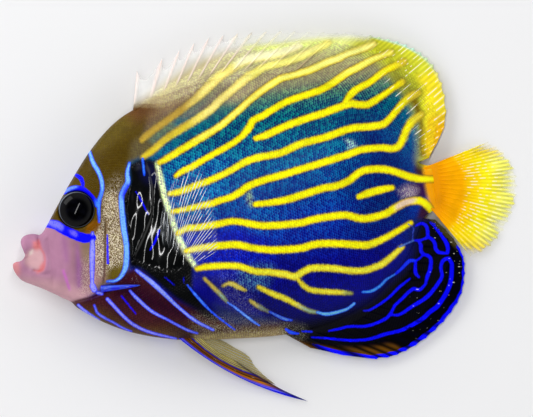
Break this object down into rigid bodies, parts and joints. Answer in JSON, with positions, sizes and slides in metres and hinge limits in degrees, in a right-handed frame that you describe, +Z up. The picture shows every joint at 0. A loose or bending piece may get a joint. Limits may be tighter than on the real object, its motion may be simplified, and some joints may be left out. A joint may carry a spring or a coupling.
{
  "type": "emperor angelfish",
  "caption": "Life-size emperor angelfish lying on its right side, with spread fins, open mouth, cheek spines and yellow stripes on a blue flank.",
  "frame": {"origin": "middle of the fish's footprint, on the floor it lies on", "axes": "+X from the snout to the tail, +Y from the belly to the back, +Z up out of the left flank"},
  "size_m": [0.1252, 0.0916, 0.0174],
  "materials": {
    "flank": "wet scaled skin, blue with yellow stripes",
    "mask": "wet finely scaled skin, olive brown with blue bands and a black bar",
    "snout": "wet smooth skin, mauve pink",
    "eye": "wet and glossy",
    "gill_cover": "wet finely scaled skin, black with blue lines",
    "cheek_spine": "smooth bone, electric blue",
    "dorsal_fin": "wet scaled membrane with spines and rays, striped blue and yellow, pale at the edge",
    "anal_fin": "wet scaled membrane with spines and rays, black with blue lines",
    "tail_fin": "wet membrane with rays, orange yellow, clear at the edge",
    "clear_fin": "wet clear membrane with pale rays",
    "pelvic_fin": "wet membrane with a spine and rays, bronze with a blue leading edge"
  },
  "bodies": {
    "root": {"head": "mask", "torso": "flank", "tail_base": "flank", "upper_lip": "snout", "lower_jaw": "snout", "mouth_lining": "snout", "dorsal_fin_spines": "dorsal_fin", "dorsal_fin_rays": "dorsal_fin", "anal_fin": "anal_fin", "tail_fin": "tail_fin", "eye_left": "eye", "eye_right": "eye", "gill_cover_left": "gill_cover", "gill_cover_right": "gill_cover", "cheek_spine_left": "cheek_spine", "cheek_spine_right": "cheek_spine", "pectoral_fin_left": "clear_fin", "pectoral_fin_right": "clear_fin", "pelvic_fin_left": "pelvic_fin", "pelvic_fin_right": "pelvic_fin"}
  },
  "joints": []
}
